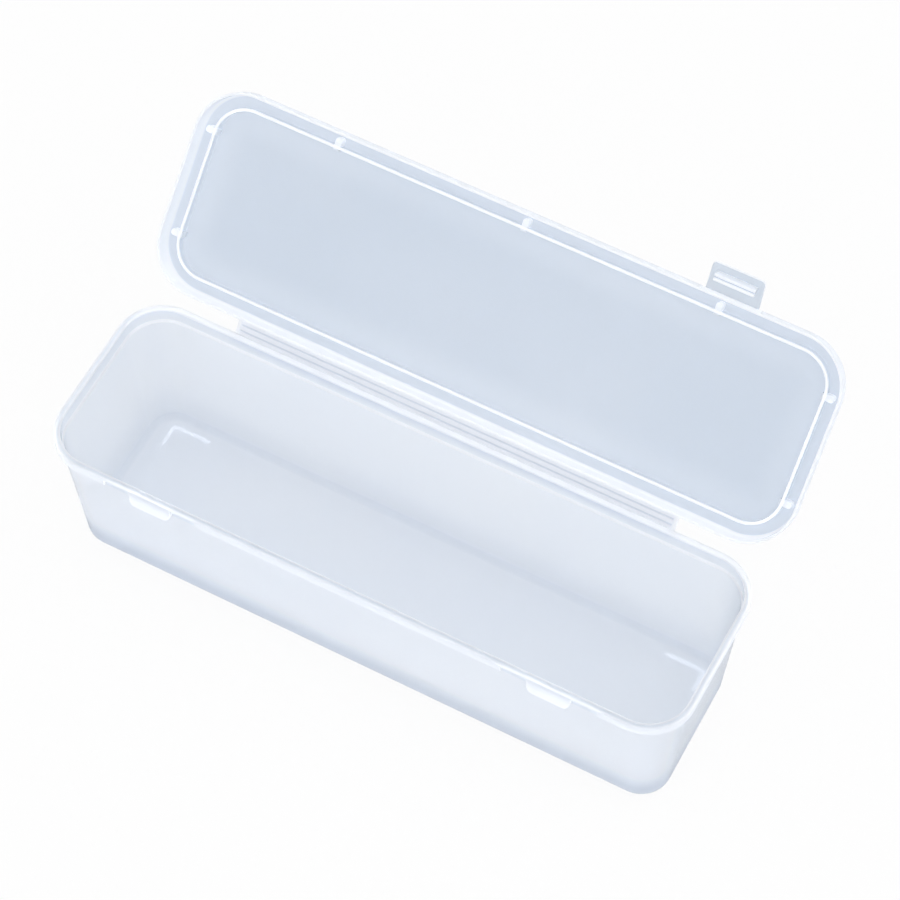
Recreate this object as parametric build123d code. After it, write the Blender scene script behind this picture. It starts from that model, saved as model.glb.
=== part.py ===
from build123d import *
from math import atan2, degrees
import os

# Long clear storage box in frosted polypropylene: a deep tub, a shallow lid on a
# folding spine along the back, and a snap flap at the front. Millimetres, +Z up,
# +X along the box, front at -Y, origin in the middle of the plane the tub rests on.
# Heights named "level" are measured from the tub's rim, negative below it.

# Tub: mouth and walls
mouth_length = 270.0        # inside the rim, along X
mouth_width = 77.4          # inside the rim, along Y
mouth_corner = 16.8         # corner radius inside the rim
tub_height = 73.0           # resting plane to rim
tub_wall = 1.1
floor_thickness = 1.2
wall_lean = 4.7             # the walls lean in by this from the step to the floor
bottom_round = 4.0          # outer radius where the walls turn into the floor
rim_band = 7.5              # straight band of wall under the rim
band_step = 0.8             # the wall steps in by this below the band

# Tub: turned-down rim
flange_reach = 2.6          # mouth edge to the outside of the rim
flange_thickness = 1.2
flange_round = 0.8          # outer top edge of the rim
mouth_bevel = 0.4           # inner top edge of the rim
skirt_wall = 1.1
skirt_drop = 4.6            # rim to the lower edge of the skirt

# Tub: catches that hang in gaps of the front skirt
catch_inset = 48.7          # end of the mouth to the middle of the catch
catch_width = 19.2          # where it leaves the rim
catch_tip_width = 17.6
catch_wall = 1.6
catch_drop = 8.6            # rim to the lower edge of the catch
catch_corner = 2.8
catch_bend = 4.8            # rim to the bend, below it the catch leans outwards
catch_lean = 1.2            # the lower edge stands proud of the skirt by this
window_width = 40.5         # gap in the skirt around each catch

# Tub: corner feet, L-shaped ribs under the floor
foot_height = 0.8
foot_wall = 1.8
foot_long = 18.0            # leg along X
foot_short = 11.0           # leg along Y
foot_corner = 2.9
foot_end_setback = 8.0      # outer bottom edge of the tub to the foot, at the ends
foot_side_setback = 5.5     # the same at the front and back

# Spine: the strip between the two fold lines
spine_length = 194.0
spine_thickness = 1.0
spine_height = 7.6          # fold line to fold line
spine_gap = 0.15            # closed lid wall to the spine
spine_groove = 0.25         # depth of the two shallow grooves
spine_groove_width = 0.9
spine_groove_spacing = 2.4  # between the two grooves
spine_end_band = 1.8        # plain band between the grooves and each end
spine_flare = 1.5           # radius of the flare at each end of the upper edge
fold_gap = 0.06             # left at each fold line
ledge_thickness = 1.2       # tub ledge and lid ledge that carry the fold lines
ledge_gap = 0.3             # closed lid edge to the tub ledge below it

# Lid, drawn closed on the tub
lid_gap = 0.25              # tub rim to the inside of the lid wall
lid_wall = 1.0
lid_top_wall = 1.2
lid_lip = 4.6               # tub rim to the lower edge of the lid wall
lid_rise = 5.6              # tub rim to the top of the lid
lid_round = 4.8             # outer radius where the lid wall turns into its top
lid_edge_bevel = 0.25       # edges of the lid wall's lower rim

# Lid: sealing rib and the small lugs on it that sit on the tub's rim
rib_setback = 6.0           # inside of the lid wall to the middle of the rib
rib_wall = 1.1
rib_level = 0.0             # crest of the rib
rib_crest_bevel = 0.3
lug_width = 2.6
lug_level = 0.3             # tub rim to the lower face of the lugs
lug_reach = 3.3             # outer side of the rib to the end of the lug
lug_nib = 0.8               # inner side of the rib to the other end
lug_round = 1.1             # upright corners at the outer end
lug_spacing = 82.0          # front lugs, from the middle one outwards
end_lug_offset = 22.0       # lugs at the ends, from the middle of the lid

# Snap flap on the lid's front wall
flap_root_width = 22.0
flap_tip_width = 21.7
flap_length = 11.5
flap_thickness = 1.4
flap_corner = 1.8
flap_ledge_width = 24.4
flap_ledge_reach = 1.7      # lid wall to the flap's fold line
flap_drop = 3.7             # tub rim to the flap's fold line, closed
hook_bar_length = 16.8
hook_bar_width = 3.3
hook_bite = 0.55            # how far the bar reaches in under the catch
hook_gap = 0.2              # catch to the bar under it, closed
hook_round = 0.4
hook_groove_width = 1.0
hook_groove_depth = 0.7

# How far the lid stands open
spine_tilt = 42.5           # degrees that the spine leans back
lid_turn = 93.4             # degrees between the spine and the lid wall
flap_turn = 20.0            # degrees that the flap is bent down from the lid's plane

# Derived places
rim = tub_height
catch_offset = mouth_length / 2 - catch_inset
flap_offset = catch_offset  # the flap hangs straight in front of its catch
flange_length = mouth_length + 2 * flange_reach
flange_width = mouth_width + 2 * flange_reach
flange_corner = mouth_corner + flange_reach
lid_inner_length = flange_length + 2 * lid_gap
lid_inner_width = flange_width + 2 * lid_gap
lid_inner_corner = flange_corner + lid_gap
lid_length = lid_inner_length + 2 * lid_wall
lid_width = lid_inner_width + 2 * lid_wall
lid_corner = lid_inner_corner + lid_wall
ledge_top = rim - lid_lip - ledge_gap
fold_y = lid_width / 2 + spine_gap + spine_thickness / 2
tub_fold_z = ledge_top - ledge_thickness / 2
lid_fold_z = tub_fold_z + spine_height
flap_fold_y = -(lid_width / 2 + flap_ledge_reach)
flap_fold_z = rim - flap_drop
panel_z = rim + lid_rise - lid_top_wall
floor_z = foot_height


def outline(length, width, corner, z):
    """Rounded rectangle centred on the box at height z."""
    return Pos(0, 0, z) * RectangleRounded(length, width, corner)


def slab(length, width, corner, low, high):
    """Rounded block between two heights."""
    return extrude(outline(length, width, corner, low), amount=high - low)


def tub_skin(grow, low, high):
    """Leaning walls, the 45 degree step above them and the band under the rim, grown outwards by grow."""
    step_z = rim - rim_band
    band_z = step_z + band_step
    draft = degrees(atan2(wall_lean, step_z - floor_z))
    length = mouth_length + 2 * grow
    width = mouth_width + 2 * grow
    corner = mouth_corner + grow
    step = outline(length - 2 * band_step, width - 2 * band_step, corner - band_step, step_z)
    skin = extrude(step, amount=step_z - low, dir=(0, 0, -1), taper=draft)
    skin += extrude(outline(length, width, corner, band_z), amount=band_step, dir=(0, 0, -1), taper=45)
    return skin + slab(length, width, corner, band_z, high)


# Tub.
outer_skin = tub_skin(tub_wall, floor_z, rim - flange_thickness / 2)
outer_skin = fillet(outer_skin.edges().group_by(Axis.Z)[0], bottom_round)
cavity = tub_skin(0.0, floor_z + floor_thickness, rim)
cavity = fillet(cavity.edges().group_by(Axis.Z)[0], bottom_round - tub_wall)

# The rim is a plate that turns down into a skirt all round.
rim_block = slab(flange_length, flange_width, flange_corner, rim - skirt_drop, rim)
rim_block = fillet(rim_block.edges().group_by(Axis.Z)[-1], flange_round)
rim_block -= slab(
    flange_length - 2 * skirt_wall,
    flange_width - 2 * skirt_wall,
    flange_corner - skirt_wall,
    rim - skirt_drop,
    rim - flange_thickness,
)
tub = outer_skin + rim_block - cavity
mouth_edges = [
    e
    for e in tub.edges().group_by(Axis.Z)[-1]
    if e.bounding_box().size.X <= mouth_length and abs(e.center().Y) <= mouth_width / 2 + 0.1
    and abs(e.center().X) <= mouth_length / 2 + 0.1
]
tub = chamfer(mouth_edges, mouth_bevel)

# Gaps in the front skirt, with a catch hanging in each of them.
for side in (-1, 1):
    window_height = skirt_drop - flange_thickness
    window = Pos(
        side * catch_offset,
        -(flange_width / 2 - skirt_wall / 2),
        rim - flange_thickness - window_height / 2,
    ) * Box(window_width, 2 * skirt_wall, window_height)
    tub -= window
    catch_top = rim - (flange_thickness + flange_round) / 2
    catch_bottom = rim - catch_drop
    front_view = make_face(
        Polyline(
            (-catch_width / 2, catch_top),
            (catch_width / 2, catch_top),
            (catch_tip_width / 2, catch_bottom),
            (-catch_tip_width / 2, catch_bottom),
            close=True,
        )
    )
    front_view = fillet(front_view.vertices().group_by(Axis.Y)[0], catch_corner)
    side_view = make_face(
        Polyline(
            (-flange_width / 2, catch_top),
            (-flange_width / 2, rim - catch_bend),
            (-flange_width / 2 - catch_lean, catch_bottom),
            (-flange_width / 2 - catch_lean + catch_wall, catch_bottom),
            (-flange_width / 2 + catch_wall, rim - catch_bend),
            (-flange_width / 2 + catch_wall, catch_top),
            close=True,
        )
    )
    front_plane = Plane(origin=(0, -flange_width / 2 - catch_lean, 0), x_dir=(1, 0, 0), z_dir=(0, -1, 0))
    catch = extrude(front_plane * front_view, amount=-(catch_wall + catch_lean))
    catch &= extrude(Plane.YZ * side_view, amount=catch_width / 2, both=True)
    tub += Pos(side * catch_offset, 0, 0) * catch

# Ledge along the back skirt; the spine folds along its outer edge.
ledge_inner = flange_width / 2 - skirt_wall
ledge_outer = fold_y - spine_thickness / 2 - fold_gap
tub += Pos(0, (ledge_inner + ledge_outer) / 2, tub_fold_z) * Box(
    spine_length, ledge_outer - ledge_inner, ledge_thickness
)
skirt_extension = ledge_top - (rim - skirt_drop)
if skirt_extension < 0:
    tub += Pos(0, ledge_inner + skirt_wall / 2, ledge_top - skirt_extension / 2) * Box(
        spine_length, skirt_wall, -skirt_extension
    )

# Four L-shaped feet under the floor corners.
base_length = mouth_length - 2 * band_step + 2 * tub_wall - 2 * wall_lean
base_width = mouth_width - 2 * band_step + 2 * tub_wall - 2 * wall_lean
foot_shape = Pos(-foot_long / 2, -foot_short / 2) * Rectangle(foot_long, foot_short)
foot_shape -= Pos(-foot_long / 2 - foot_wall, -foot_short / 2 - foot_wall) * Rectangle(foot_long, foot_short)
foot_shape = fillet(foot_shape.vertices().sort_by(lambda v: v.X + v.Y)[-1], foot_corner)
foot = extrude(foot_shape, amount=foot_height)
foot = Pos(base_length / 2 - foot_end_setback, base_width / 2 - foot_side_setback, 0) * foot
left_foot = mirror(foot, about=Plane.YZ)
for one_foot in (foot, left_foot, mirror(foot, about=Plane.XZ), mirror(left_foot, about=Plane.XZ)):
    tub += one_foot

# Spine, drawn upright behind the closed lid, with half-round edges on the fold lines
spine_face = Rectangle(spine_length, spine_height)
for side in (-1, 1):
    flare = Pos(side * (spine_length / 2 + spine_flare / 2), spine_height / 2 - spine_flare / 2) * Rectangle(
        spine_flare, spine_flare
    )
    flare -= Pos(side * (spine_length / 2 + spine_flare), spine_height / 2 - spine_flare) * Circle(spine_flare)
    spine_face += flare
spine_plane = Plane(
    origin=(0, fold_y - spine_thickness / 2, (tub_fold_z + lid_fold_z) / 2),
    x_dir=(1, 0, 0),
    z_dir=(0, -1, 0),
)
spine = extrude(spine_plane * spine_face, amount=-spine_thickness)
for fold_z, bar_length in ((tub_fold_z, spine_length), (lid_fold_z, spine_length + 2 * spine_flare)):
    edge_bar = Cylinder(spine_thickness / 2, bar_length, rotation=(0, 90, 0))
    spine += Pos(0, fold_y, fold_z) * edge_bar
for side in (-1, 1):
    groove_z = (tub_fold_z + lid_fold_z) / 2 + side * spine_groove_spacing / 2
    spine -= Pos(0, fold_y - spine_thickness / 2, groove_z) * Box(
        spine_length - 2 * spine_end_band, 2 * spine_groove, spine_groove_width
    )

# Lid, drawn closed.
lid = slab(lid_length, lid_width, lid_corner, rim - lid_lip, rim + lid_rise)
lid = fillet(lid.edges().group_by(Axis.Z)[-1], lid_round)
lid_hollow = slab(lid_inner_length, lid_inner_width, lid_inner_corner, rim - lid_lip, panel_z)
lid_hollow = fillet(lid_hollow.edges().group_by(Axis.Z)[-1], lid_round - lid_top_wall)
lid -= lid_hollow
lid = chamfer(lid.edges().group_by(Axis.Z)[0], lid_edge_bevel)

rib_length = lid_inner_length - 2 * rib_setback
rib_width = lid_inner_width - 2 * rib_setback
rib_corner = lid_inner_corner - rib_setback
rib_top = panel_z + lid_top_wall / 2
rib = slab(rib_length + rib_wall, rib_width + rib_wall, rib_corner + rib_wall / 2, rim + rib_level, rib_top)
rib -= slab(rib_length - rib_wall, rib_width - rib_wall, rib_corner - rib_wall / 2, rim + rib_level, rib_top)
rib = chamfer(rib.edges().group_by(Axis.Z)[0], rib_crest_bevel)
lid += rib

# One lug, drawn along +X: it starts just inside the rib and ends, rounded, over the tub's rim.
lug_start = -rib_wall / 2 - lug_nib
lug_end = rib_wall / 2 + lug_reach
lug_face = Pos((lug_start + lug_end) / 2, 0) * Rectangle(lug_end - lug_start, lug_width)
lug_face = fillet(lug_face.vertices().group_by(Axis.X)[-1], lug_round)
lug_bottom = rim + lug_level
lug = extrude(Pos(0, 0, lug_bottom) * lug_face, amount=rib_top - lug_bottom)
lug_places = [Location((x, -rib_width / 2, 0), (0, 0, -90)) for x in (-lug_spacing, 0, lug_spacing)]
for y in (-end_lug_offset, end_lug_offset):
    lug_places.append(Location((rib_length / 2, y, 0)))
    lug_places.append(Location((-rib_length / 2, y, 0), (0, 0, 180)))
for place in lug_places:
    lid += place * lug

# Ledge along the lid's back shoulder, over the upper fold line.
lid_ledge_low = lid_fold_z + spine_thickness / 2 + fold_gap
lid_ledge_inner = lid_width / 2 - lid_wall
lid += Pos(0, (lid_ledge_inner + fold_y) / 2, lid_ledge_low + ledge_thickness / 2) * Box(
    spine_length + 2 * spine_flare, fold_y - lid_ledge_inner, ledge_thickness
)

# Ledge on the front wall that carries the flap's fold line.
flap_ledge_outer = flap_fold_y + flap_thickness / 2 + fold_gap
flap_ledge_inner = -lid_width / 2 + lid_wall / 2
lid += Pos(flap_offset, (flap_ledge_outer + flap_ledge_inner) / 2, flap_fold_z) * Box(
    flap_ledge_width, flap_ledge_inner - flap_ledge_outer, flap_thickness
)

# Snap flap, drawn hanging down in front of its catch
flap_face = make_face(
    Polyline(
        (-flap_root_width / 2, 0),
        (flap_root_width / 2, 0),
        (flap_tip_width / 2, -flap_length),
        (-flap_tip_width / 2, -flap_length),
        close=True,
    )
)
flap_face = fillet(flap_face.vertices().group_by(Axis.Y)[0], flap_corner)
flap_plane = Plane(
    origin=(flap_offset, flap_fold_y + flap_thickness / 2, flap_fold_z), x_dir=(1, 0, 0), z_dir=(0, -1, 0)
)
flap = extrude(flap_plane * flap_face, amount=flap_thickness)
flap += Pos(flap_offset, flap_fold_y, flap_fold_z) * Cylinder(
    flap_thickness / 2, flap_root_width, rotation=(0, 90, 0)
)
hook_top = rim - catch_drop - hook_gap
hook_inner = -flange_width / 2 + hook_bite
hook_root = flap_fold_y
hook = Pos(flap_offset, (hook_root + hook_inner) / 2, hook_top - hook_bar_width / 2) * Box(
    hook_bar_length, hook_inner - hook_root, hook_bar_width
)
hook = fillet(hook.faces().sort_by(Axis.Y)[-1].edges(), hook_round)
groove_side = make_face(
    Polyline(
        (hook_inner + hook_round, hook_groove_width / 2 + hook_round),
        (hook_inner - hook_groove_depth, 0),
        (hook_inner + hook_round, -hook_groove_width / 2 - hook_round),
        close=True,
    )
)
groove = extrude(Plane.YZ * groove_side, amount=hook_bar_length / 2, both=True)
hook -= Pos(flap_offset, 0, hook_top - hook_bar_width / 2) * groove
flap += hook

# Open the box: flap against the lid, lid against the spine, spine against the tub
flap_line = Axis((0, flap_fold_y, flap_fold_z), (-1, 0, 0))
lid_line = Axis((0, fold_y, lid_fold_z), (-1, 0, 0))
tub_line = Axis((0, fold_y, tub_fold_z), (-1, 0, 0))
flap = flap.rotate(flap_line, 90 - flap_turn).rotate(lid_line, lid_turn).rotate(tub_line, spine_tilt)
lid = lid.rotate(lid_line, lid_turn).rotate(tub_line, spine_tilt)
spine = spine.rotate(tub_line, spine_tilt)

os.makedirs("parts", exist_ok=True)
for name, shape in (("tub", tub), ("hinge_spine", spine), ("lid", lid), ("latch_flap", flap)):
    solids = shape.solids()
    print(name, len(solids), "solid,", round(shape.volume / 1000, 2), "cm3")
    export_step(solids[0] if len(solids) == 1 else shape, f"parts/{name}.step")


def swung(y, z, line_y, line_z, angle):
    """Place of a point of the YZ plane after it turns back about a line along X."""
    turned = Vector(y - line_y, z - line_z, 0).rotate(Axis.Z, -angle)
    return line_y + turned.X, line_z + turned.Y


flap_y, flap_z = swung(flap_fold_y, flap_fold_z, fold_y, lid_fold_z, lid_turn)
for label, y, z in (("tub", fold_y, tub_fold_z), ("lid", fold_y, lid_fold_z), ("flap", flap_y, flap_z)):
    y, z = swung(y, z, fold_y, tub_fold_z, spine_tilt)
    print("fold line of the", label, "y", round(y, 4), "z", round(z, 4))
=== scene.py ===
import math

import bpy
import numpy as np
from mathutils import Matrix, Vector


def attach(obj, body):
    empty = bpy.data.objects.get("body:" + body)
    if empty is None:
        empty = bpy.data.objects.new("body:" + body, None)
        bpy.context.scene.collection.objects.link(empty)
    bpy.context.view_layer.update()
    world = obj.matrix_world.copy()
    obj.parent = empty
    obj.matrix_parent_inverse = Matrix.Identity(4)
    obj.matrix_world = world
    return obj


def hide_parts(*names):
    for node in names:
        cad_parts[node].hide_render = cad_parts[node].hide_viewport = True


# Frosted storage box, standing open. Lengths in the dictionaries are millimetres, the scene is metres.
# A part is a pair: an array of points, and a list of face arrays that each hold faces of one size.
# alongX holds the columns of the turn that lays a plate's outline into Y and Z and its thickness along X.
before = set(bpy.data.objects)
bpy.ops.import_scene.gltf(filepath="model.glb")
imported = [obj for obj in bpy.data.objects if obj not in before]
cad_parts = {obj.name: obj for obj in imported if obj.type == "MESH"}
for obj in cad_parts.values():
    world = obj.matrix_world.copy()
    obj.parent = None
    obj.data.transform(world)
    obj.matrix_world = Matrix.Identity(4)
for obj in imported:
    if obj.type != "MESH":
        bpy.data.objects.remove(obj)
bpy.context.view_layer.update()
mm = 0.001
alongX = [(0, 1, 0), (0, 0, 1), (1, 0, 0)]
print("stage: frame loaded,", ", ".join(sorted(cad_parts)))


# A line through the points with each inner corner replaced by an arc of its own radius: the arc starts and
# ends at radius / tan(half the angle between the two sides) from the corner. Straight corners stay.
def roundedLine(points, radii, steps=6):
    pts = np.array(points, float)
    out = [pts[:1]]
    for k in range(1, len(pts) - 1):
        a, b, c = pts[k - 1], pts[k], pts[k + 1]
        u = (a - b) / np.linalg.norm(a - b)
        v = (c - b) / np.linalg.norm(c - b)
        half = math.acos(max(-1.0, min(1.0, float(u @ v)))) / 2
        if radii[k] <= 0 or half > math.pi / 2 - 2e-4:
            out.append(pts[k : k + 1])
            continue
        reach = radii[k] / math.tan(half)
        mid = (u + v) / np.linalg.norm(u + v)
        centre = b + mid * radii[k] / math.sin(half)
        first = b + u * reach - centre
        last = b + v * reach - centre
        t = np.linspace(0, 1, steps + 1)[:, None]
        turn = math.pi - 2 * half
        out.append(centre + (np.sin((1 - t) * turn) * first + np.sin(t * turn) * last) / math.sin(turn))
    out.append(pts[-1:])
    return np.concatenate(out)


# Adds a point at the collar's distance from both ends of every segment longer than three collars, so that
# a tint on a rounded edge fades out within the collar.
def withCollars(line, collar):
    out = [line[:1]]
    for a, b in zip(line[:-1], line[1:]):
        length = np.linalg.norm(b - a)
        if length > 3 * collar:
            step = (b - a) * collar / length
            out += [(a + step)[None], (b - step)[None]]
        out.append(b[None])
    return np.concatenate(out)


# Stations round a closed outline of corners: at each one an arc centre, the outward normal and the
# arc's radius, so that centre + (radius + offset) * normal is the outline grown by that offset.
# A corner that turns inwards has a negative radius. Marks are extra stations on the straight edges,
# given for a corner as distances along the edge that follows it.
def outlineStations(corners, radii, steps=10, marks=None):
    pts = np.array(corners, float)
    count = len(pts)
    area = 0.5 * np.sum(pts[:, 0] * np.roll(pts[:, 1], -1) - np.roll(pts[:, 0], -1) * pts[:, 1])
    if area < 0:
        pts, radii = pts[::-1], list(radii)[::-1]
    centres, normals, sizes = [], [], []
    for k in range(count):
        a, b, c = pts[k - 1], pts[k], pts[(k + 1) % count]
        inDir = (b - a) / np.linalg.norm(b - a)
        outDir = (c - b) / np.linalg.norm(c - b)
        n0 = np.array([inDir[1], -inDir[0]])
        n1 = np.array([outDir[1], -outDir[0]])
        turn = math.atan2(inDir[0] * outDir[1] - inDir[1] * outDir[0], float(inDir @ outDir))
        size = math.copysign(max(radii[k], 1e-3), turn)
        centre = b - size * (n0 + n1) / (1 + float(n0 @ n1))
        angle = math.atan2(n0[1], n0[0]) + np.linspace(0, turn, steps + 1)
        normals.append(np.stack([np.cos(angle), np.sin(angle)], 1))
        centres.append(np.repeat(centre[None], steps + 1, 0))
        sizes.append(np.full(steps + 1, size))
        if marks and k in marks:
            along = np.array(marks[k], float)[:, None]
            normals.append(np.repeat(n1[None], len(along), 0))
            centres.append(b + outDir * along - size * n1)
            sizes.append(np.full(len(along), size))
    return np.concatenate(centres), np.concatenate(normals), np.concatenate(sizes)


# Corners of the rectangle that reaches halfX and halfY from the origin, from the front left one on.
def rectangle(halfX, halfY):
    return [(-halfX, -halfY), (halfX, -halfY), (halfX, halfY), (-halfX, halfY)]


# Faces of a grid of columns that closes on itself, with a point or a flat cap at each end: the face of
# column i and row j joins points i * rows + j and j + 1 to the same two of the next column.
def gridFaces(columns, rows, firstPole=None, lastPole=None):
    i = np.arange(columns)[:, None]
    j = np.arange(rows - 1)[None]
    after = (i + 1) % columns
    quads = np.stack([i * rows + j, after * rows + j, after * rows + j + 1, i * rows + j + 1], -1)
    start, follow, top = i[:, 0] * rows, after[:, 0] * rows, rows - 1
    if firstPole is None:
        first = start[::-1][None]
    else:
        first = np.stack([follow, start, np.full(columns, firstPole)], 1)
    if lastPole is None:
        last = (start + top)[None]
    else:
        last = np.stack([start + top, follow + top, np.full(columns, lastPole)], 1)
    return [quads.reshape(-1, 4), first, last]


# Turns all faces round when the volume inside them, the sum of a . (b x c) / 6 over their fans, is
# negative.
def facesOutward(verts, faces):
    total = 0.0
    for group in faces:
        p = verts[group]
        base = p[:, :1]
        total += float(np.sum(np.cross(p[:, 1:-1] - base, p[:, 2:] - base) * base))
    return faces if total > 0 else [group[:, ::-1] for group in faces]


# A shell: the profile (distance from the outline, height) is carried round the stations, and its two
# ends run over the flat middle to one point each.
def shellOfProfile(stations, profile, heights=None):
    centres, normals, sizes = stations
    xy = centres[:, None] + (sizes[:, None] + profile[None, :, 0])[..., None] * normals[:, None]
    zz = np.repeat(profile[None, :, 1], len(centres), 0) if heights is None else heights
    grid = np.concatenate([xy, zz[..., None]], -1)
    columns, rows = grid.shape[:2]
    middle = centres.mean(0)
    poles = np.array([[*middle, profile[0, 1]], [*middle, profile[-1, 1]]])
    verts = np.concatenate([grid.reshape(-1, 3), poles])
    return verts, facesOutward(verts, gridFaces(columns, rows, columns * rows, columns * rows + 1))


# A plate: an outline with both faces drawn in by the edge radius, so that every rim is two quarter arcs,
# at edge * (sin a - 1) inwards and edge * (1 - cos a) up, and the same from the far face.
def plateOf(corners, radii, thickness, edge, steps=8, edgeSteps=4):
    centres, normals, sizes = outlineStations(corners, radii, steps)
    a = np.linspace(0, math.pi / 2, edgeSteps + 1)
    offset = np.concatenate([edge * (np.sin(a) - 1), edge * (np.cos(a) - 1)])
    w = np.concatenate([edge * (1 - np.cos(a)), thickness - edge * (1 - np.sin(a))])
    xy = centres[:, None] + (sizes[:, None] + offset[None])[..., None] * normals[:, None]
    grid = np.concatenate([xy, np.repeat(w[None], len(centres), 0)[..., None]], -1)
    verts = grid.reshape(-1, 3)
    return verts, facesOutward(verts, gridFaces(len(centres), len(w)))


# A bar that stands on Z: at each level a rectangle with rounded corners, from the level's front to its
# back and as wide as twice its half width. The border is the distance of one more point from each corner
# along the front and the back, where a tint on the sides ends.
def barOfLevels(levels, halfWidths, fronts, backs, edge, border, steps=5):
    angle = np.linspace(0, math.pi / 2, steps + 1)
    quarter = np.stack([np.cos(angle), np.sin(angle)], 1)
    corners, arcs, inset = [], [], []
    for sx, sy in ((1, 1), (-1, 1), (-1, -1), (1, -1)):
        arc = np.concatenate([quarter, [[0, 1]]])
        away = np.append(np.zeros(steps + 1), border)
        arcs.append((arc if sx * sy > 0 else arc[::-1]) * (sx, sy))
        inset.append(away if sx * sy > 0 else away[::-1])
        corners.append(np.repeat([[sx, sy]], steps + 2, 0))
    arcs, corners, inset = np.concatenate(arcs), np.concatenate(corners), np.concatenate(inset)
    mid, deep = (fronts + backs) / 2, (backs - fronts) / 2
    x = corners[:, :1] * (halfWidths[None] - edge - inset[:, None]) + edge * arcs[:, :1]
    y = mid[None] + corners[:, 1:] * (deep - edge)[None] + edge * arcs[:, 1:]
    verts = np.stack([x, y, np.repeat(levels[None], len(arcs), 0)], -1).reshape(-1, 3)
    return verts, facesOutward(verts, gridFaces(len(arcs), len(levels)))


# Moves points by a 3x3 turn, given as its columns, and a shift; a turn that mirrors reverses the faces.
def placed(part, columns, shift):
    verts, faces = part
    turn = np.array(columns, float).T
    moved = verts @ turn.T + np.array(shift, float)
    return moved, ([group[:, ::-1] for group in faces] if np.linalg.det(turn) < 0 else faces)


# Turns points back about a line along X: y' = y cos + z sin, z' = z cos - y sin, about that line.
def swungBack(verts, lineY, lineZ, angle):
    y, z = verts[:, 1] - lineY, verts[:, 2] - lineZ
    c, s = math.cos(math.radians(angle)), math.sin(math.radians(angle))
    return np.stack([verts[:, 0], lineY + y * c + z * s, lineZ + z * c - y * s], 1)


# Smooth step from 0 at low to 1 at high: 3 t^2 - 2 t^3.
def ramp(value, low, high):
    t = np.clip((value - low) / (high - low), 0, 1)
    return t * t * (3 - 2 * t)


# One mesh from several parts in millimetres, with two numbers on each vertex: how much painted highlight and
# glow it gets (0 on plain walls, about 1 on rims and ribs) and how much painted shade darkens it.
def makePiece(name, parts, light, shade=0.0, sharpAngle=38):
    verts = np.concatenate([p[0] for p in parts])
    starts = np.cumsum([0] + [len(p[0]) for p in parts])
    faces = []
    for (partVerts, groups), start in zip(parts, starts):
        for group in groups:
            faces += (group + start).tolist()
    mesh = bpy.data.meshes.new(name)
    mesh.from_pydata((verts * mm).tolist(), [], faces)
    for label, value in (("edgeLight", light), ("creaseShade", shade)):
        values = np.broadcast_to(np.asarray(value, np.float32), (len(verts),))
        mesh.attributes.new(label, "FLOAT", "POINT").data.foreach_set("value", np.ascontiguousarray(values))
    mesh.shade_smooth()
    mesh.set_sharp_from_angle(angle=math.radians(sharpAngle))
    obj = bpy.data.objects.new(name, mesh)
    bpy.context.scene.collection.objects.link(obj)
    return obj


# Hands a finished mesh over: its material, the body it rides on and the CAD node it stands for.
def finishPiece(obj, body, material, node=None):
    obj.data.materials.append(material)
    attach(obj, body)
    if node:
        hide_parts(node)


# An empty node group with its sockets: inputs are (name, kind, start value), outputs (name, kind).
def newGroup(name, inputs, outputs):
    group = bpy.data.node_groups.new(name, "ShaderNodeTree")
    for label, kind, value in inputs:
        group.interface.new_socket(label, in_out="INPUT", socket_type=kind).default_value = value
    for label, kind in outputs:
        group.interface.new_socket(label, in_out="OUTPUT", socket_type=kind)
    return group, group.nodes.new("NodeGroupInput"), group.nodes.new("NodeGroupOutput")


# A maths node; a link or a plain number may be given for each of its inputs.
def mathNode(tree, operation, *given):
    node = tree.nodes.new("ShaderNodeMath")
    node.operation = operation
    for socket, value in zip(node.inputs, given):
        if isinstance(value, (int, float)):
            socket.default_value = value
        else:
            tree.links.new(value, socket)
    return node


# Fine matt texture of the mould and the slow thickness waves of the moulding, both from Object coordinates:
# height = fine noise + share * coarse noise; roughness = base + spread * (coarse noise - 0.5).
def buildFrostGrain():
    group, given, out = newGroup(
        "frostGrain",
        [("Fine Scale", "NodeSocketFloat", 2600.0), ("Wave Scale", "NodeSocketFloat", 18.0),
         ("Wave Share", "NodeSocketFloat", 0.35), ("Rough Base", "NodeSocketFloat", 0.4),
         ("Rough Spread", "NodeSocketFloat", 0.12)],
        [("Height", "NodeSocketFloat"), ("Roughness", "NodeSocketFloat"), ("Cloud", "NodeSocketFloat")],
    )
    link = group.links.new
    place = group.nodes.new("ShaderNodeTexCoord")
    fine = group.nodes.new("ShaderNodeTexNoise")
    fine.inputs["Detail"].default_value = 3.0
    wave = group.nodes.new("ShaderNodeTexNoise")
    wave.inputs["Detail"].default_value = 2.0
    for noise, scale in ((fine, "Fine Scale"), (wave, "Wave Scale")):
        link(place.outputs["Object"], noise.inputs["Vector"])
        link(given.outputs[scale], noise.inputs["Scale"])
    share, spread, base = (given.outputs[key] for key in ("Wave Share", "Rough Spread", "Rough Base"))
    height = mathNode(group, "MULTIPLY_ADD", wave.outputs["Fac"], share, fine.outputs["Fac"])
    centred = mathNode(group, "SUBTRACT", wave.outputs["Fac"], 0.5)
    rough = mathNode(group, "MULTIPLY_ADD", centred.outputs[0], spread, base)
    link(height.outputs[0], out.inputs["Height"])
    link(rough.outputs[0], out.inputs["Roughness"])
    link(wave.outputs["Fac"], out.inputs["Cloud"])
    return group
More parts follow.
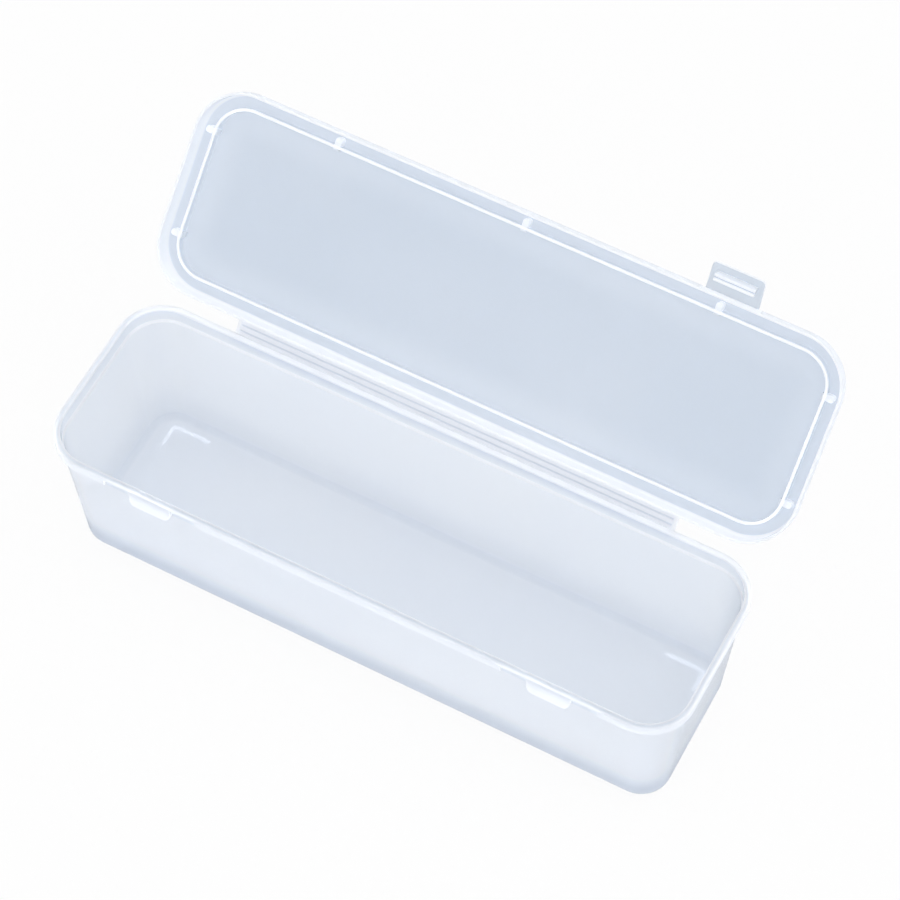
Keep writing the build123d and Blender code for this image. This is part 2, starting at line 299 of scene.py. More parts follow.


# Colour of a milky moulding: the wall colour drifts to its cloudy colour with the waves, to the tint of
# painted shade where creaseShade says so and to white, a painted highlight, where edgeLight marks a rim or
# rib.
# Glow = a faint painted glow of the plain wall + (rim colour - that glow) * edgeLight; the wall's painted
# glow stands for light scattered inside it, the rest is a painted highlight glowing on rims and ribs.
def buildMilkColour():
    group, given, out = newGroup(
        "milkColour",
        [("Wall", "NodeSocketColor", (0.8, 0.85, 0.92, 1)),
         ("Cloudy", "NodeSocketColor", (0.85, 0.89, 0.94, 1)),
         ("Shade Tint", "NodeSocketColor", (0.5, 0.56, 0.68, 1)),
         ("Rim", "NodeSocketColor", (0.97, 0.98, 1.0, 1)),
         ("Scatter Glow", "NodeSocketColor", (0, 0, 0, 1)), ("Cloud", "NodeSocketFloat", 0.5)],
        [("Color", "NodeSocketColor"), ("Glow", "NodeSocketColor")],
    )
    link = group.links.new

    # Mix of two colours by a factor, which may pass 1 where it isn't clamped.
    def blend(factor, first, second, clamped=True):
        node = group.nodes.new("ShaderNodeMix")
        node.data_type = "RGBA"
        node.clamp_factor = clamped
        link(factor, node.inputs["Factor"])
        link(first, node.inputs["A"])
        link(second, node.inputs["B"])
        return node.outputs["Result"]

    marks = {}
    for label in ("edgeLight", "creaseShade"):
        mark = group.nodes.new("ShaderNodeAttribute")
        mark.attribute_name = label
        marks[label] = mark.outputs["Fac"]
    drift = group.nodes.new("ShaderNodeMapRange")
    drift.inputs["From Min"].default_value = 0.35
    drift.inputs["From Max"].default_value = 0.65
    link(given.outputs["Cloud"], drift.inputs["Value"])
    body = blend(drift.outputs["Result"], given.outputs["Wall"], given.outputs["Cloudy"])
    shaded = blend(marks["creaseShade"], body, given.outputs["Shade Tint"])
    rim, scatterGlow = given.outputs["Rim"], given.outputs["Scatter Glow"]
    link(blend(marks["edgeLight"], shaded, rim), out.inputs["Color"])
    link(blend(marks["edgeLight"], scatterGlow, rim, False), out.inputs["Glow"])
    return group


frostGrain = buildFrostGrain()
milkColour = buildMilkColour()


# Frosted polypropylene: a rough see-through Principled with a milky share of plain diffuse light, whose
# rims glow a little: a painted glow by emission that stands for the light the moulding leads to them. The
# index of refraction is low because rough walls of a higher one shut the light in.
def frostedPlastic(name, v):
    mat = bpy.data.materials.new(name)
    mat.use_nodes = True
    nodes, link = mat.node_tree.nodes, mat.node_tree.links.new
    shader = nodes["Principled BSDF"]
    shader.inputs["IOR"].default_value = 1.15
    shader.inputs["Transmission Weight"].default_value = v["clear"]
    shader.inputs["Specular IOR Level"].default_value = 0.5
    shader.inputs["Metallic"].default_value = 0.0
    shader.inputs["Emission Strength"].default_value = v["rimGlow"]
    grain = nodes.new("ShaderNodeGroup")
    grain.node_tree = frostGrain
    milk = nodes.new("ShaderNodeGroup")
    milk.node_tree = milkColour
    for label, key in (("Fine Scale", "fineScale"), ("Wave Scale", "waveScale"), ("Rough Base", "rough"),
                       ("Rough Spread", "roughSpread")):
        grain.inputs[label].default_value = v[key]
    for label, key in (("Wall", "wall"), ("Cloudy", "cloudy"), ("Shade Tint", "shadeTint"), ("Rim", "rim"),
                       ("Scatter Glow", "scatterGlow")):
        milk.inputs[label].default_value = (*v[key], 1)
    bump = nodes.new("ShaderNodeBump")
    bump.inputs["Strength"].default_value = v["bumpStrength"]
    bump.inputs["Distance"].default_value = v["bumpDepth"]
    link(grain.outputs["Cloud"], milk.inputs["Cloud"])
    link(milk.outputs["Color"], shader.inputs["Base Color"])
    link(milk.outputs["Glow"], shader.inputs["Emission Color"])
    link(grain.outputs["Roughness"], shader.inputs["Roughness"])
    link(grain.outputs["Height"], bump.inputs["Height"])
    link(bump.outputs["Normal"], shader.inputs["Normal"])
    return mat


# Besides the wall colours, each plastic has a white for painted highlights, a darker tint for painted shade,
# a faint painted glow of plain walls and the strength of all painted glow by emission.
mould = {
    "rim": (0.98, 0.985, 1.0), "scatterGlow": (0.0, 0.0, 0.0), "clear": 0.5, "rough": 0.40, "roughSpread": 0.10,
    "fineScale": 2400.0, "bumpStrength": 0.2, "bumpDepth": 0.0002,
}
plastic = {
    "shell": {**mould, "wall": (0.92, 0.951, 0.995), "cloudy": (0.935, 0.961, 0.995),
              "shadeTint": (0.53, 0.60, 0.72), "scatterGlow": (0.075, 0.098, 0.14), "clear": 0.7, "rimGlow": 0.14,
              "waveScale": 14.0, "bumpStrength": 0.25},
    "foot": {**mould, "wall": (0.92, 0.95, 0.995), "cloudy": (0.935, 0.96, 0.995),
             "shadeTint": (0.55, 0.61, 0.72), "rimGlow": 0.3, "waveScale": 14.0, "bumpStrength": 0.25},
    "lid": {**mould, "wall": (0.742, 0.808, 0.898), "cloudy": (0.768, 0.828, 0.912),
            "shadeTint": (0.45, 0.52, 0.66), "clear": 0.55, "rimGlow": 0.15, "rough": 0.42,
            "roughSpread": 0.08, "waveScale": 9.0, "bumpStrength": 0.22},
    "fold": {**mould, "wall": (0.86, 0.89, 0.95), "cloudy": (0.88, 0.905, 0.96),
             "shadeTint": (0.55, 0.62, 0.76), "rimGlow": 0.1, "waveScale": 30.0},
    "clasp": {**mould, "wall": (0.77, 0.83, 0.905), "cloudy": (0.79, 0.845, 0.915),
              "shadeTint": (0.5, 0.56, 0.68), "rimGlow": 0.18, "rough": 0.38, "waveScale": 40.0},
}
frostedShell = frostedPlastic("frostedShell", plastic["shell"])
frostedFoot = frostedPlastic("frostedFoot", plastic["foot"])
frostedLid = frostedPlastic("frostedLid", plastic["lid"])
frostedFold = frostedPlastic("frostedFold", plastic["fold"])
frostedClasp = frostedPlastic("frostedClasp", plastic["clasp"])
print("stage: plastics ready")

tub = {
    "mouthX": 135.0, "mouthY": 38.7, "corner": 16.8, "rimZ": 73.0,
    "wall": 1.1, "floorLow": 0.8, "floorHigh": 2.0, "lean": 4.7, "bottomRound": 4.0,
    "stepZ": 65.5, "step": 0.8, "reach": 2.6, "plate": 1.2, "rimRound": 0.8, "mouthRound": 0.45,
    "skirtWall": 1.1, "skirtZ": 68.4, "skirtRound": 0.35, "stepRounds": (0.25, 0.5), "plateRound": 0.12,
    "catchX": 86.3, "windowHalf": 20.25, "windowSide": 0.01, "lowZ": 9.0, "highZ": 22.0, "collar": 0.25,
    "backTopLight": 0.9, "mouthLight": 1.2, "rimLight": 0.3, "skirtLight": 0.32, "skirtEdgeLight": 1.3,
    "stepLight": 0.3, "wallLight": 0.42,
    "bandShade": 0.15, "foldShade": 0.32, "floorShade": 0.07, "lowShade": 0.38, "cornerShade": 0.1,
    "foldRise": (3.6, 1.6), "foldInset": (3.4, 1.2), "floorInset": (1.0, 3.0),
}


# Painted light and shade on the tub's points, one number for each station and profile point. Edges get a
# painted highlight outright; the back rim and the front wall get painted light by how far the station's
# normal points back or front. Painted shade is the sum of the step band, the fold round the floor, the
# floor, the low band outside, and 4 * (normal x * normal y) ^ 2 in the corners.
def tubMarks(normals, profile, bandZ, innerLow):
    t = tub
    offset, z = profile.T
    sideways, back = normals[:, :1], normals[:, 1:]
    inside = np.arange(len(profile)) < np.argmax(z > t["rimZ"] - 0.1)
    onSkirt = offset > t["wall"] + 0.2
    underRim, mouthLow = t["rimZ"] - t["rimRound"] - 0.1, t["rimZ"] - t["mouthRound"] - 0.05
    mouthSide, rimSide = t["mouthRound"] + 0.05, t["reach"] - t["rimRound"] - 0.05
    light = np.zeros(len(profile))
    light[onSkirt & (z < underRim)] = t["skirtLight"]
    light[onSkirt & (z < t["skirtZ"] + 0.4)] = t["skirtEdgeLight"]
    light[(z > underRim) & (offset > rimSide)] = t["rimLight"]
    light[(z > mouthLow) & (offset < mouthSide)] = t["mouthLight"]
    light[inside & (z > t["stepZ"] - 0.1) & (z < bandZ + 0.1)] = t["stepLight"]
    onTop = (z > t["rimZ"] - 0.1) & (offset > mouthSide) & (offset < rimSide)
    light = np.where(onTop[None], t["backTopLight"] * ramp(back, 0.3, 0.95), light[None])
    wallZ = ~inside & (z < t["stepZ"] + 0.1)
    light = light + t["wallLight"] * (wallZ * ramp(z, t["lowZ"], t["highZ"]))[None] * ramp(back, 0.0, -0.6)
    rise = t["floorHigh"] + np.array(t["foldRise"])
    inset = innerLow - np.array(t["foldInset"])
    floor = innerLow - np.array(t["floorInset"])
    shade = np.where(inside & (z > bandZ + 0.1) & (z < t["rimZ"] - 0.5), t["bandShade"], 0.0)
    shade = shade + t["foldShade"] * inside * ramp(z, *rise) * ramp(offset, *inset)
    shade = shade + t["floorShade"] * inside * ramp(offset, *floor)
    shade = shade + t["lowShade"] * ~inside * ramp(z, t["highZ"], t["lowZ"])
    onWall = inside & (z > rise[1]) & (z < t["stepZ"])
    shade = shade[None] + t["cornerShade"] * 4 * (sideways * back) ** 2 * onWall[None]
    return [np.concatenate([value.reshape(-1), value[0, [0, -1]]]) for value in (light, shade)]


# The tub is one profile, from the middle of the floor up the inside, over the rim, down and up the skirt
# and down the outside, carried round the mouth's rounded rectangle. The skirt's points are lifted to the
# rim plate at the stations that lie in a window of the front skirt.
def buildTubShell():
    t = tub
    wall, stepZ, low, high = t["wall"], t["stepZ"], t["floorLow"], t["floorHigh"]
    bandZ = stepZ + t["step"]
    slope = t["lean"] / (stepZ - low)
    skirtIn, plateZ = t["reach"] - t["skirtWall"], t["rimZ"] - t["plate"]
    innerLow = -t["step"] - slope * (stepZ - high)
    outerLow = -t["step"] - t["lean"] + wall
    points = [
        (-t["corner"], high), (innerLow, high), (innerLow + slope * (t["lowZ"] - high), t["lowZ"]),
        (-t["step"], stepZ), (0, bandZ), (0, t["rimZ"]), (t["reach"], t["rimZ"]), (t["reach"], t["skirtZ"]),
        (skirtIn, t["skirtZ"]), (skirtIn, plateZ), (wall, plateZ), (wall, bandZ), (wall - t["step"], stepZ),
        (wall - t["step"] - slope * (stepZ - t["highZ"]), t["highZ"]),
        (wall - t["step"] - slope * (stepZ - t["lowZ"]), t["lowZ"]), (outerLow, low), (-t["corner"], low),
    ]
    stepIn, stepOut = t["stepRounds"]
    radii = [0, t["bottomRound"] - wall, 0, stepIn, stepIn, t["mouthRound"], t["rimRound"], t["skirtRound"],
             t["skirtRound"], t["plateRound"], t["plateRound"], stepOut, stepOut, 0, 0, t["bottomRound"], 0]
    profile = withCollars(roundedLine(points, radii, 6), t["collar"])
    ends = np.array([side * t["catchX"] + half for side in (-1, 1)
                     for half in (-t["windowHalf"], t["windowHalf"])])
    windows = np.sort(np.concatenate([ends - t["windowSide"], ends + t["windowSide"]])) + t["mouthX"]
    stations = outlineStations(rectangle(t["mouthX"], t["mouthY"]), [t["corner"]] * 4, 22, {0: windows})
    centres, normals, _ = stations
    inWindow = (normals[:, 1] < -0.999) & (np.abs(np.abs(centres[:, 0]) - t["catchX"]) < t["windowHalf"])
    offset, z = profile.T
    skirt = (offset > wall + 0.2) & (z < plateZ)
    heights = np.where(inWindow[:, None] & skirt[None], np.maximum(z, plateZ)[None], z[None])
    light, shade = tubMarks(normals, profile, bandZ, innerLow)
    return makePiece("tubShell", [shellOfProfile(stations, profile, heights)], light, shade)


finishPiece(buildTubShell(), "tub", frostedShell, "tub")
print("stage: tub shell")

catch = {
    "halfTop": 9.6, "halfTip": 8.8, "lowZ": 64.4, "bendZ": 68.2, "highZ": 72.1, "wall": 1.6, "corner": 2.8,
    "lean": 1.2, "edge": 0.35, "sideEdge": 0.3, "frontY": -41.3, "faceLight": 0.5, "border": 0.9,
    "rises": (0, 0.03, 0.12, 0.22, 0.35, 0.6, 1.0, 1.5, 2.1, 2.8), "topCollar": 1.2, "leastHalf": 6.4,
    "tipLight": (0.9, 0.4),
}


# Each catch is a plate that hangs from the rim in a window of the skirt. Below the bend it leans outwards
# by lean * (bend - z) / (bend - low), and its width shrinks evenly and then round the lower corners.
def buildCatches():
    c = catch
    height, bend = c["highZ"] - c["lowZ"], c["bendZ"] - c["lowZ"]
    up = np.concatenate([c["rises"], [bend, height - c["topCollar"], height]])
    z = c["lowZ"] + up
    half = c["halfTip"] + (c["halfTop"] - c["halfTip"]) * up / height
    half = half - c["corner"] + np.sqrt(c["corner"] ** 2 - np.maximum(0, c["corner"] - up) ** 2)
    half = np.maximum(half, c["leastHalf"])
    front = c["frontY"] - c["lean"] * np.clip((c["bendZ"] - z) / bend, 0, 1)
    draw = c["edge"] - np.sqrt(c["edge"] ** 2 - np.maximum(0, c["edge"] - up) ** 2)
    verts, faces = barOfLevels(z, half, front + draw, front + c["wall"] - draw, c["sideEdge"], c["border"])
    # Painted highlight on the catch's tip and side edges, over a weaker even painted light on its face.
    fromSide = (half[None] - np.abs(verts[:, 0].reshape(-1, len(z)))).reshape(-1)
    atTip = ramp(verts[:, 2], *(c["lowZ"] + np.array(c["tipLight"])))
    rim = np.maximum(atTip, ramp(fromSide, c["border"], c["sideEdge"]))
    light = c["faceLight"] + (1 - c["faceLight"]) * rim
    parts = [(verts + (side * tub["catchX"], 0, 0), faces) for side in (-1, 1)]
    return makePiece("tubCatches", parts, np.tile(light, 2))


finishPiece(buildCatches(), "tub", frostedShell)

foot = {
    "long": 18.0, "short": 11.0, "wall": 1.8, "corner": 2.9, "endRound": 0.5, "x": 122.6, "y": 28.8,
    "height": 0.95, "edge": 0.25, "light": 0.8,
}


# An L-shaped foot under each corner of the floor; the other three are its mirror images.
def buildFeet():
    f = foot
    wall, end = f["wall"], f["endRound"]
    corners = [(0, 0), (-f["long"], 0), (-f["long"], -wall), (-wall, -wall), (-wall, -f["short"]),
               (0, -f["short"])]
    radii = [f["corner"], end, end, f["corner"] - wall, end, end]
    part = plateOf(corners, radii, f["height"], f["edge"])
    parts = [placed(part, [(sx, 0, 0), (0, sy, 0), (0, 0, 1)], (sx * f["x"], sy * f["y"], 0))
             for sx in (-1, 1) for sy in (-1, 1)]
    # The feet get painted light and glow all over, so that they show through the floor.
    return makePiece("tubFeet", parts, f["light"])


finishPiece(buildFeet(), "tub", frostedFoot)

ledge = {
    "halfLength": 97.0, "innerY": 40.2, "skirtY": 41.3, "outerY": 42.64, "lowZ": 66.9, "highZ": 68.1,
    "joinZ": 69.4, "edge": 0.2, "rounds": (0.3, 0.25, 0.15, 0.2, 0.1, 0.1),
    "light": 0.5, "foldLight": 1.0, "lightY": (42.2, 42.6),
}


# The back ledge: an angle section under the skirt, drawn along X, whose outer edge is the first fold line.
def buildTubLedge():
    g = ledge
    corners = [(g["innerY"], g["lowZ"]), (g["outerY"], g["lowZ"]), (g["outerY"], g["highZ"]),
               (g["skirtY"], g["highZ"]), (g["skirtY"], g["joinZ"]), (g["innerY"], g["joinZ"])]
    part = plateOf(corners, g["rounds"], 2 * g["halfLength"], g["edge"], 4, 3)
    part = placed(part, alongX, (-g["halfLength"], 0, 0))
    # Painted light on the ledge, rising to a painted highlight on its outer fold edge.
    light = g["light"] + (g["foldLight"] - g["light"]) * ramp(part[0][:, 1], *g["lightY"])
    return makePiece("tubFoldLedge", [part], light)


finishPiece(buildTubLedge(), "tub", frostedShell)
print("stage: catches, feet and fold ledge")

pose = {
    "foldY": 43.2, "tubFoldZ": 67.5, "lidFoldZ": 75.1, "flapFoldY": -44.25, "flapFoldZ": 69.3,
    "spineTilt": 42.5, "lidTurn": 93.4, "flapTurn": 70.0,
}


# Spine, lid and flap are drawn shut and swung open about their fold lines, each carrying the next one.
def openSpine(verts):
    return swungBack(verts, pose["foldY"], pose["tubFoldZ"], pose["spineTilt"])


# The lid turns on the spine and then goes with it.
def openLid(verts):
    return openSpine(swungBack(verts, pose["foldY"], pose["lidFoldZ"], pose["lidTurn"]))


# The flap turns on the lid's front edge and then goes with the lid.
def openFlap(verts):
    return openLid(swungBack(verts, pose["flapFoldY"], pose["flapFoldZ"], pose["flapTurn"]))


spine = {
    "halfLength": 97.0, "thickness": 1.0, "grooveSpacing": 2.4, "grooveWidth": 0.9, "grooveDepth": 0.25,
    "grooveFloor": 0.5, "grooveRound": 0.08, "endBand": 1.8, "endBlend": 0.15, "flare": 1.5,
    "flareSteps": (0.97, 0.9, 0.75, 0.55, 0.35, 0.18, 0.06, 0.0),
    "faceLight": 0.25, "edgeLight": 0.8, "lightFromMid": (3.4, 4.2), "grooveShade": 0.4,
}


# The spine's section has half-round ends and two shallow grooves in its inner face; it is drawn along X.
# Near its ends the grooves run out, and past the plain length only what lies above the flare's hollow arc,
# lid fold - flare + sqrt(flare ^ 2 - (flare - past) ^ 2), is left.
def buildSpine():
    s = spine
    half, flare, length = s["thickness"] / 2, s["flare"], s["halfLength"]
    y0, y1 = pose["foldY"] - half, pose["foldY"] + half
    low, high = pose["tubFoldZ"] - half, pose["lidFoldZ"] + half
    mid = (low + high) / 2
    w, d, g = s["grooveWidth"] / 2, s["grooveDepth"], s["grooveSpacing"] / 2
    flat = w * s["grooveFloor"]
    corners = [(y0, low), (y1, low), (y1, high), (y0, high)]
    radii = [half * 0.999] * 4
    for centre in (mid + g, mid - g):
        corners += [(y0, centre + w), (y0 + d, centre + flat), (y0 + d, centre - flat), (y0, centre - w)]
        radii += [s["grooveRound"]] * 4
    centres, normals, sizes = outlineStations(corners, radii, 6)
    section = centres + sizes[:, None] * normals
    plain = length - s["endBand"]
    ends = np.concatenate([length + flare * np.array(s["flareSteps"]),
                           [length - 0.01, plain + s["endBlend"], plain - s["endBlend"]]])
    xs = np.concatenate([-ends, ends[::-1]])
    past = np.clip(np.abs(xs) - length, 0, flare)
    arc = pose["lidFoldZ"] - flare + np.sqrt(np.maximum(0, flare ** 2 - (flare - past) ** 2))
    arc = np.where(np.abs(xs) < length, low - 1, arc)
    z = np.maximum(section[:, None, 1], arc[None])
    between = (section[:, 0] > y0) & (np.abs(section[:, 1] - mid) < g + w + 0.01)
    hollow = between & (section[:, 0] < y0 + d + 0.01)
    y = np.where(hollow[:, None] & (np.abs(xs) > plain)[None], y0, section[:, :1])
    verts = np.stack([np.repeat(xs[None], len(section), 0), y, z], -1).reshape(-1, 3)
    faces = facesOutward(verts, gridFaces(len(section), len(xs)))
    # Painted light on the strip, brighter towards its edges and ends and none in the grooves, which get
    # painted shade instead.
    fromMid = np.abs(verts[:, 2] - mid)
    groove = ((verts[:, 1] > y0 + 0.1) & (verts[:, 1] < y0 + d + 0.02) & (fromMid < g + w)).astype(float)
    gathered = np.maximum(ramp(fromMid, *s["lightFromMid"]), ramp(np.abs(verts[:, 0]), plain, length))
    light = (s["faceLight"] + (s["edgeLight"] - s["faceLight"]) * gathered) * (1 - groove)
    return makePiece("spineStrip", [(openSpine(verts), faces)], light, s["grooveShade"] * groove, 30)


finishPiece(buildSpine(), "spine", frostedFold, "hinge_spine")
print("stage: spine")

lid = {
    "innerX": 137.85, "innerY": 41.55, "corner": 19.65, "wall": 1.0, "lowZ": 68.4, "highZ": 78.6, "top": 1.2,
    "round": 4.8, "edgeRound": 0.35, "ribSetback": 6.0, "ribHalf": 0.55, "ribZ": 73.0, "ribRound": 0.4,
    "ribRoot": 0.45, "collar": 0.4, "shoulderReach": 4.5, "wallReach": 1.5, "wallTopZ": 76.0, "rimBand": 0.45,
    "ribLight": 1.7, "ribSideLight": 0.1, "rimLight": 0.9, "wallLight": 0.5, "hingeWallLight": 0.85,
    "channelLight": 0.03, "shoulderLight": 0.65,
}


# The lid is one profile as well: under the top, down and up the sealing rib, along the channel, down the
# wall's inside, round its lower rim, up the outside and over the rounded shoulder. Rib, rim and shoulder get
# a painted highlight, and the wall's inside more painted light the more its normal points to the hinge.
def buildLidShell():
    v = lid
    under = v["highZ"] - v["top"]
    inner, outer = -v["ribSetback"] - v["ribHalf"], -v["ribSetback"] + v["ribHalf"]
    points = [
        (-v["corner"], under), (inner, under), (inner, v["ribZ"]), (outer, v["ribZ"]), (outer, under),
        (0, under), (0, v["lowZ"]), (v["wall"], v["lowZ"]), (v["wall"], v["highZ"]),
        (-v["corner"], v["highZ"]),
    ]
    radii = [0, v["ribRoot"], v["ribRound"], v["ribRound"], v["ribRoot"], v["round"] - v["top"],
             v["edgeRound"], v["edgeRound"], v["round"], 0]
    profile = withCollars(roundedLine(points, radii, 8), v["collar"])
    stations = outlineStations(rectangle(v["innerX"], v["innerY"]), [v["corner"]] * 4, 24)
    offset, z = profile.T
    last = len(profile) - 1 - np.argmax((z < v["lowZ"] + 0.05)[::-1])
    outside = np.arange(len(profile)) > last
    aboveRim = z > v["lowZ"] + v["rimBand"]
    onRib = (offset > inner - 0.05) & (offset < outer + 0.05) & ~outside
    onWall = (offset > -v["wallReach"]) & (z < v["wallTopZ"]) & aboveRim & ~outside
    light = np.zeros(len(profile))
    light[onRib] = v["ribSideLight"]
    light[onRib & (z < v["ribZ"] + 0.5)] = v["ribLight"]
    light[(offset > outer + 0.05) & ~outside] = v["channelLight"]
    light[outside & (offset > -v["shoulderReach"])] = v["shoulderLight"]
    light[~aboveRim] = v["rimLight"]
    towardsHinge = ramp(stations[1][:, 1:], 0.3, 0.95)
    wallLight = v["wallLight"] + (v["hingeWallLight"] - v["wallLight"]) * towardsHinge
    light = np.where(onWall[None], wallLight, light[None])
    verts, faces = shellOfProfile(stations, profile)
    return makePiece("lidShell", [(openLid(verts), faces)], np.concatenate([light.reshape(-1), [0, 0]]))


finishPiece(buildLidShell(), "lid", frostedLid, "lid")
print("stage: lid shell")

lug = {
    "width": 2.6, "nib": 0.8, "reach": 3.3, "lowZ": 73.3, "highZ": 78.0, "round": 1.1, "innerRound": 0.3,
    "edge": 0.3, "frontX": (-82.0, 0.0, 82.0), "endY": (-22.0, 22.0),
    "light": 1.2, "nibLight": 0.5, "nibEnds": (-0.6, 0.4),
}


# A lug is an upright block from just inside the rib to over the tub's rim, with a rounded outer end. It is
# drawn with its reach along X from the middle of the rib.
def buildLugs():
    g, v = lug, lid
    start, end, half = -v["ribHalf"] - g["nib"], v["ribHalf"] + g["reach"], g["width"] / 2
    part = plateOf([(start, -half), (end, -half), (end, half), (start, half)],
                   [g["innerRound"], g["round"], g["round"], g["innerRound"]], g["highZ"] - g["lowZ"],
                   g["edge"], 6, 4)
    ribX, ribY = v["innerX"] - v["ribSetback"], v["innerY"] - v["ribSetback"]
    parts = [placed(part, [(0, -1, 0), (1, 0, 0), (0, 0, 1)], (x, -ribY, g["lowZ"])) for x in g["frontX"]]
    parts += [placed(part, [(s, 0, 0), (0, s, 0), (0, 0, 1)], (s * ribX, y, g["lowZ"]))
              for s in (-1, 1) for y in g["endY"]]
    # Painted highlight on the lugs, weaker towards the nib.
    light = g["nibLight"] + (g["light"] - g["nibLight"]) * ramp(part[0][:, 0], *g["nibEnds"])
    return makePiece("lidLugs", [(openLid(p), f) for p, f in parts], np.tile(light, len(parts)))


finishPiece(buildLugs(), "lid", frostedLid)

lidLedge = {
    "halfLength": 98.5, "lowZ": 75.66, "highZ": 76.86, "outerY": 43.2, "lowY": 41.7, "highY": 41.0,
    "rounds": (0.1, 0.2, 0.45, 0.1), "edge": 0.2, "light": 0.8,
}
flapLedge = {
    "width": 24.4, "outerY": -43.49, "innerY": -42.1, "lowZ": 68.6, "highZ": 70.0, "round": 0.3,
    "edge": 0.25, "light": 0.7,
}


# Two plain bars along X on the outside of the lid wall: the one over the upper fold line and the one that
# the snap flap folds on.
def buildLidLedges():
    g, f = lidLedge, flapLedge
    back = plateOf([(g["lowY"], g["lowZ"]), (g["outerY"], g["lowZ"]), (g["outerY"], g["highZ"]),
                    (g["highY"], g["highZ"])], g["rounds"], 2 * g["halfLength"], g["edge"], 5, 3)
    back = placed(back, alongX, (-g["halfLength"], 0, 0))
    front = plateOf([(f["outerY"], f["lowZ"]), (f["innerY"], f["lowZ"]), (f["innerY"], f["highZ"]),
                     (f["outerY"], f["highZ"])], [f["round"]] * 4, f["width"], f["edge"], 5, 3)
    front = placed(front, alongX, (tub["catchX"] - f["width"] / 2, 0, 0))
    # Both ledges get an even painted light.
    light = np.concatenate([np.full(len(back[0]), g["light"]), np.full(len(front[0]), f["light"])])
    return makePiece("lidLedges", [(openLid(p), q) for p, q in (back, front)], light)


finishPiece(buildLidLedges(), "lid", frostedLid)
print("stage: lid lugs and ledges")

flap = {
    "rootWidth": 22.0, "tipWidth": 21.7, "length": 11.5, "rise": 0.68, "thickness": 1.4, "corner": 1.8,
    "rootRound": 0.45, "edge": 0.35, "rimLight": 0.9, "rimDepth": (0.02, 0.2), "rootFade": 0.6,
}
hook = {
    "length": 16.8, "highZ": 64.2, "width": 3.3, "innerY": -40.75, "sink": 0.5, "grooveHalf": 0.55,
    "grooveDepth": 0.7, "rounds": (0.1, 0.4, 0.15, 0.15, 0.15, 0.4, 0.1), "edge": 0.3,
    "crestLight": 1.0, "crestDepth": (0.4, 0.1), "sideLight": 0.6,
    "grooveShade": 0.3, "shadeHalf": 0.3, "shadeDepth": (0.3, 0.9),
}


# The flap is a plate hanging from its fold line; the hook bar across it has a groove down its crest. A
# painted highlight lies on the plate's rounded edge, away from the fold, and on the bar's crest beside the
# groove, and painted shade lies in the groove.
def buildFlap():
    f, h = flap, hook
    x = tub["catchX"]
    root, tip = f["rootWidth"] / 2, f["tipWidth"] / 2
    plate = plateOf([(-tip, -f["length"]), (tip, -f["length"]), (root, f["rise"]), (-root, f["rise"])],
                    [f["corner"], f["corner"], f["rootRound"], f["rootRound"]], f["thickness"], f["edge"])
    plate = placed(plate, [(1, 0, 0), (0, 0, 1), (0, 1, 0)],
                   (x, pose["flapFoldY"] - f["thickness"] / 2, pose["flapFoldZ"]))
    low, mid, crestY = h["highZ"] - h["width"], h["highZ"] - h["width"] / 2, h["innerY"]
    rootY = pose["flapFoldY"] + f["thickness"] / 2 - h["sink"]
    corners = [(rootY, low), (crestY, low), (crestY, mid - h["grooveHalf"]),
               (crestY - h["grooveDepth"], mid), (crestY, mid + h["grooveHalf"]), (crestY, h["highZ"]),
               (rootY, h["highZ"])]
    bar = plateOf(corners, h["rounds"], h["length"], h["edge"], 5, 4)
    bar = placed(bar, alongX, (x - h["length"] / 2, 0, 0))
    p, b = plate[0], bar[0]
    fromFace = np.minimum(np.abs(p[:, 1] - p[:, 1].min()), np.abs(p[:, 1] - p[:, 1].max()))
    onEdge = ramp(fromFace, *f["rimDepth"]) * ramp(pose["flapFoldZ"] - p[:, 2], 0.0, f["rootFade"])
    depth = crestY - b[:, 1]
    crest = ramp(depth, *h["crestDepth"])
    near, far = h["shadeDepth"]
    inGroove = (np.abs(b[:, 2] - mid) < h["shadeHalf"]) & (depth > near) & (depth < far)
    lightBar = np.where(inGroove, 0.0, h["sideLight"] + (h["crestLight"] - h["sideLight"]) * crest)
    light = np.concatenate([f["rimLight"] * onEdge, lightBar])
    shade = np.concatenate([np.zeros(len(p)), h["grooveShade"] * inGroove])
    return makePiece("snapFlap", [(openFlap(p), plate[1]), (openFlap(b), bar[1])], light, shade)


finishPiece(buildFlap(), "flap", frostedClasp, "latch_flap")
print("stage: snap flap")

studio = {
    "floorColour": (0.97, 0.97, 0.97), "floorShow": 0.9, "worldDiffuse": 0.85, "floorSize": 6.0,
    "keyPlace": (1.0, 0.2, 1.4), "keyPower": 3.2, "keySize": 1.4,
    "fillPlace": (-0.2, -1.5, 0.8), "fillPower": 2.5, "fillSize": 1.6, "target": (0, 0.03, 0.05),
}


# 1 on camera, glossy and transmission rays, 0 on the rest: the largest of the three.
def seenRays(tree):
    path = tree.nodes.new("ShaderNodeLightPath")
    first = mathNode(tree, "MAXIMUM", path.outputs["Is Camera Ray"], path.outputs["Is Glossy Ray"])
    return mathNode(tree, "MAXIMUM", first.outputs[0], path.outputs["Is Transmission Ray"]).outputs[0]


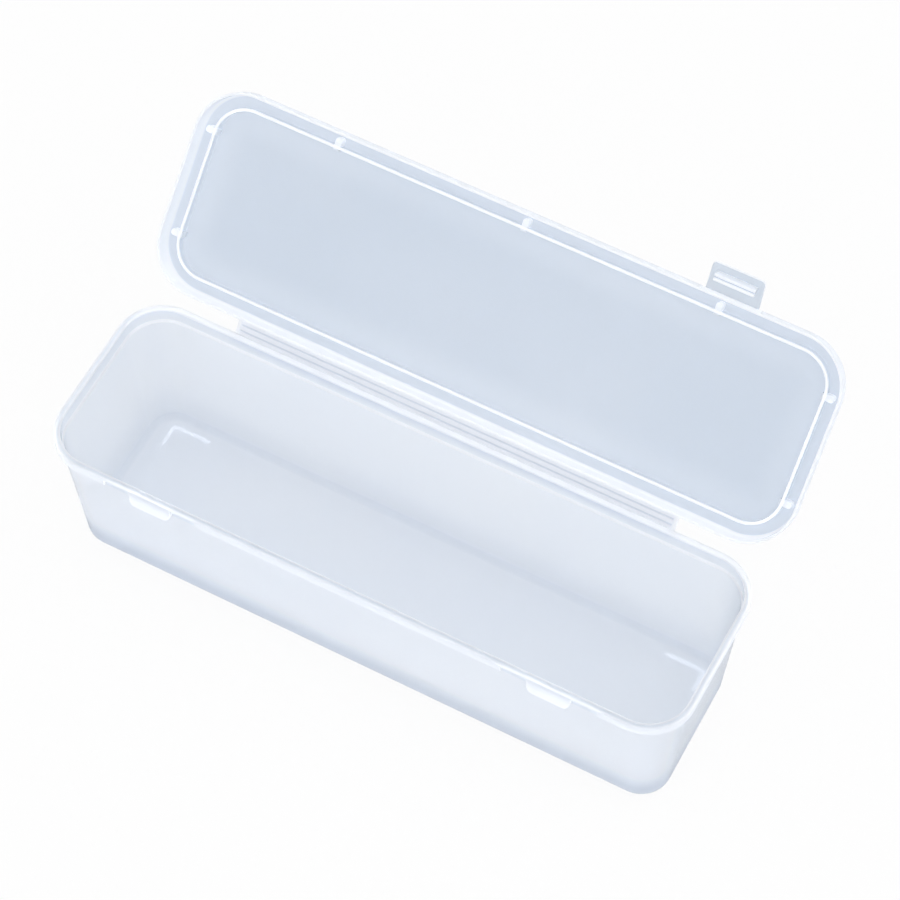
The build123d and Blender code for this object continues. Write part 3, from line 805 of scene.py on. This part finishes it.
# The floor mixes plain diffuse with white that only camera, mirror and see-through rays meet, by floorShow
# times seenRays, so it reads white and still keeps the soft shadow.
def buildFloor():
    half = studio["floorSize"] / 2
    mesh = bpy.data.meshes.new("studioFloor")
    mesh.from_pydata([(*corner, 0) for corner in rectangle(half, half)], [], [(0, 1, 2, 3)])
    floor = bpy.data.objects.new("studioFloor", mesh)
    bpy.context.scene.collection.objects.link(floor)
    mat = bpy.data.materials.new("studioFloor")
    mat.use_nodes = True
    tree = mat.node_tree
    tree.nodes.remove(tree.nodes["Principled BSDF"])
    diffuse = tree.nodes.new("ShaderNodeBsdfDiffuse")
    diffuse.inputs["Color"].default_value = (*studio["floorColour"], 1)
    white = tree.nodes.new("ShaderNodeEmission")
    mix = tree.nodes.new("ShaderNodeMixShader")
    share = mathNode(tree, "MULTIPLY", seenRays(tree), studio["floorShow"])
    tree.links.new(share.outputs[0], mix.inputs["Fac"])
    tree.links.new(diffuse.outputs[0], mix.inputs[1])
    tree.links.new(white.outputs[0], mix.inputs[2])
    tree.links.new(mix.outputs[0], tree.nodes["Material Output"].inputs["Surface"])
    mesh.materials.append(mat)


# White all round: strength 1 where it is seen, a little less as light.
def buildWorld():
    world = bpy.data.worlds.new("studioWorld")
    bpy.context.scene.world = world
    world.use_nodes = True
    tree = world.node_tree
    back = tree.nodes["Background"]
    back.inputs["Color"].default_value = (1, 1, 1, 1)
    level = tree.nodes.new("ShaderNodeMapRange")
    level.inputs["To Min"].default_value = studio["worldDiffuse"]
    level.inputs["To Max"].default_value = 1.0
    tree.links.new(seenRays(tree), level.inputs["Value"])
    tree.links.new(level.outputs["Result"], back.inputs["Strength"])


# A round soft lamp that looks at the box: it faces from its place to the studio's target.
def softLamp(name, place, power, size):
    lamp = bpy.data.lights.new(name, "AREA")
    lamp.shape = "DISK"
    lamp.size = size
    lamp.energy = power
    obj = bpy.data.objects.new(name, lamp)
    obj.location = place
    obj.rotation_euler = (Vector(studio["target"]) - Vector(place)).to_track_quat("-Z", "Y").to_euler()
    bpy.context.scene.collection.objects.link(obj)


camera = {"place": (0.32934, -0.56136, 1.19077), "turn": (31.18978, 0.30982, 28.08661), "lens": 135.0535}


# The main view, from the front right and high up: turn holds the Euler angles in degrees.
def buildCamera():
    data = bpy.data.cameras.new("studioCamera")
    data.lens = camera["lens"]
    data.sensor_width = 36.0
    data.clip_end = 20.0
    obj = bpy.data.objects.new("studioCamera", data)
    obj.location = camera["place"]
    obj.rotation_euler = tuple(math.radians(a) for a in camera["turn"])
    bpy.context.scene.collection.objects.link(obj)
    bpy.context.scene.camera = obj


buildFloor()
buildWorld()
softLamp("keyLamp", studio["keyPlace"], studio["keyPower"], studio["keySize"])
softLamp("fillLamp", studio["fillPlace"], studio["fillPower"], studio["fillSize"])
buildCamera()
bpy.context.scene.view_settings.view_transform = "Standard"
print("stage: studio ready")
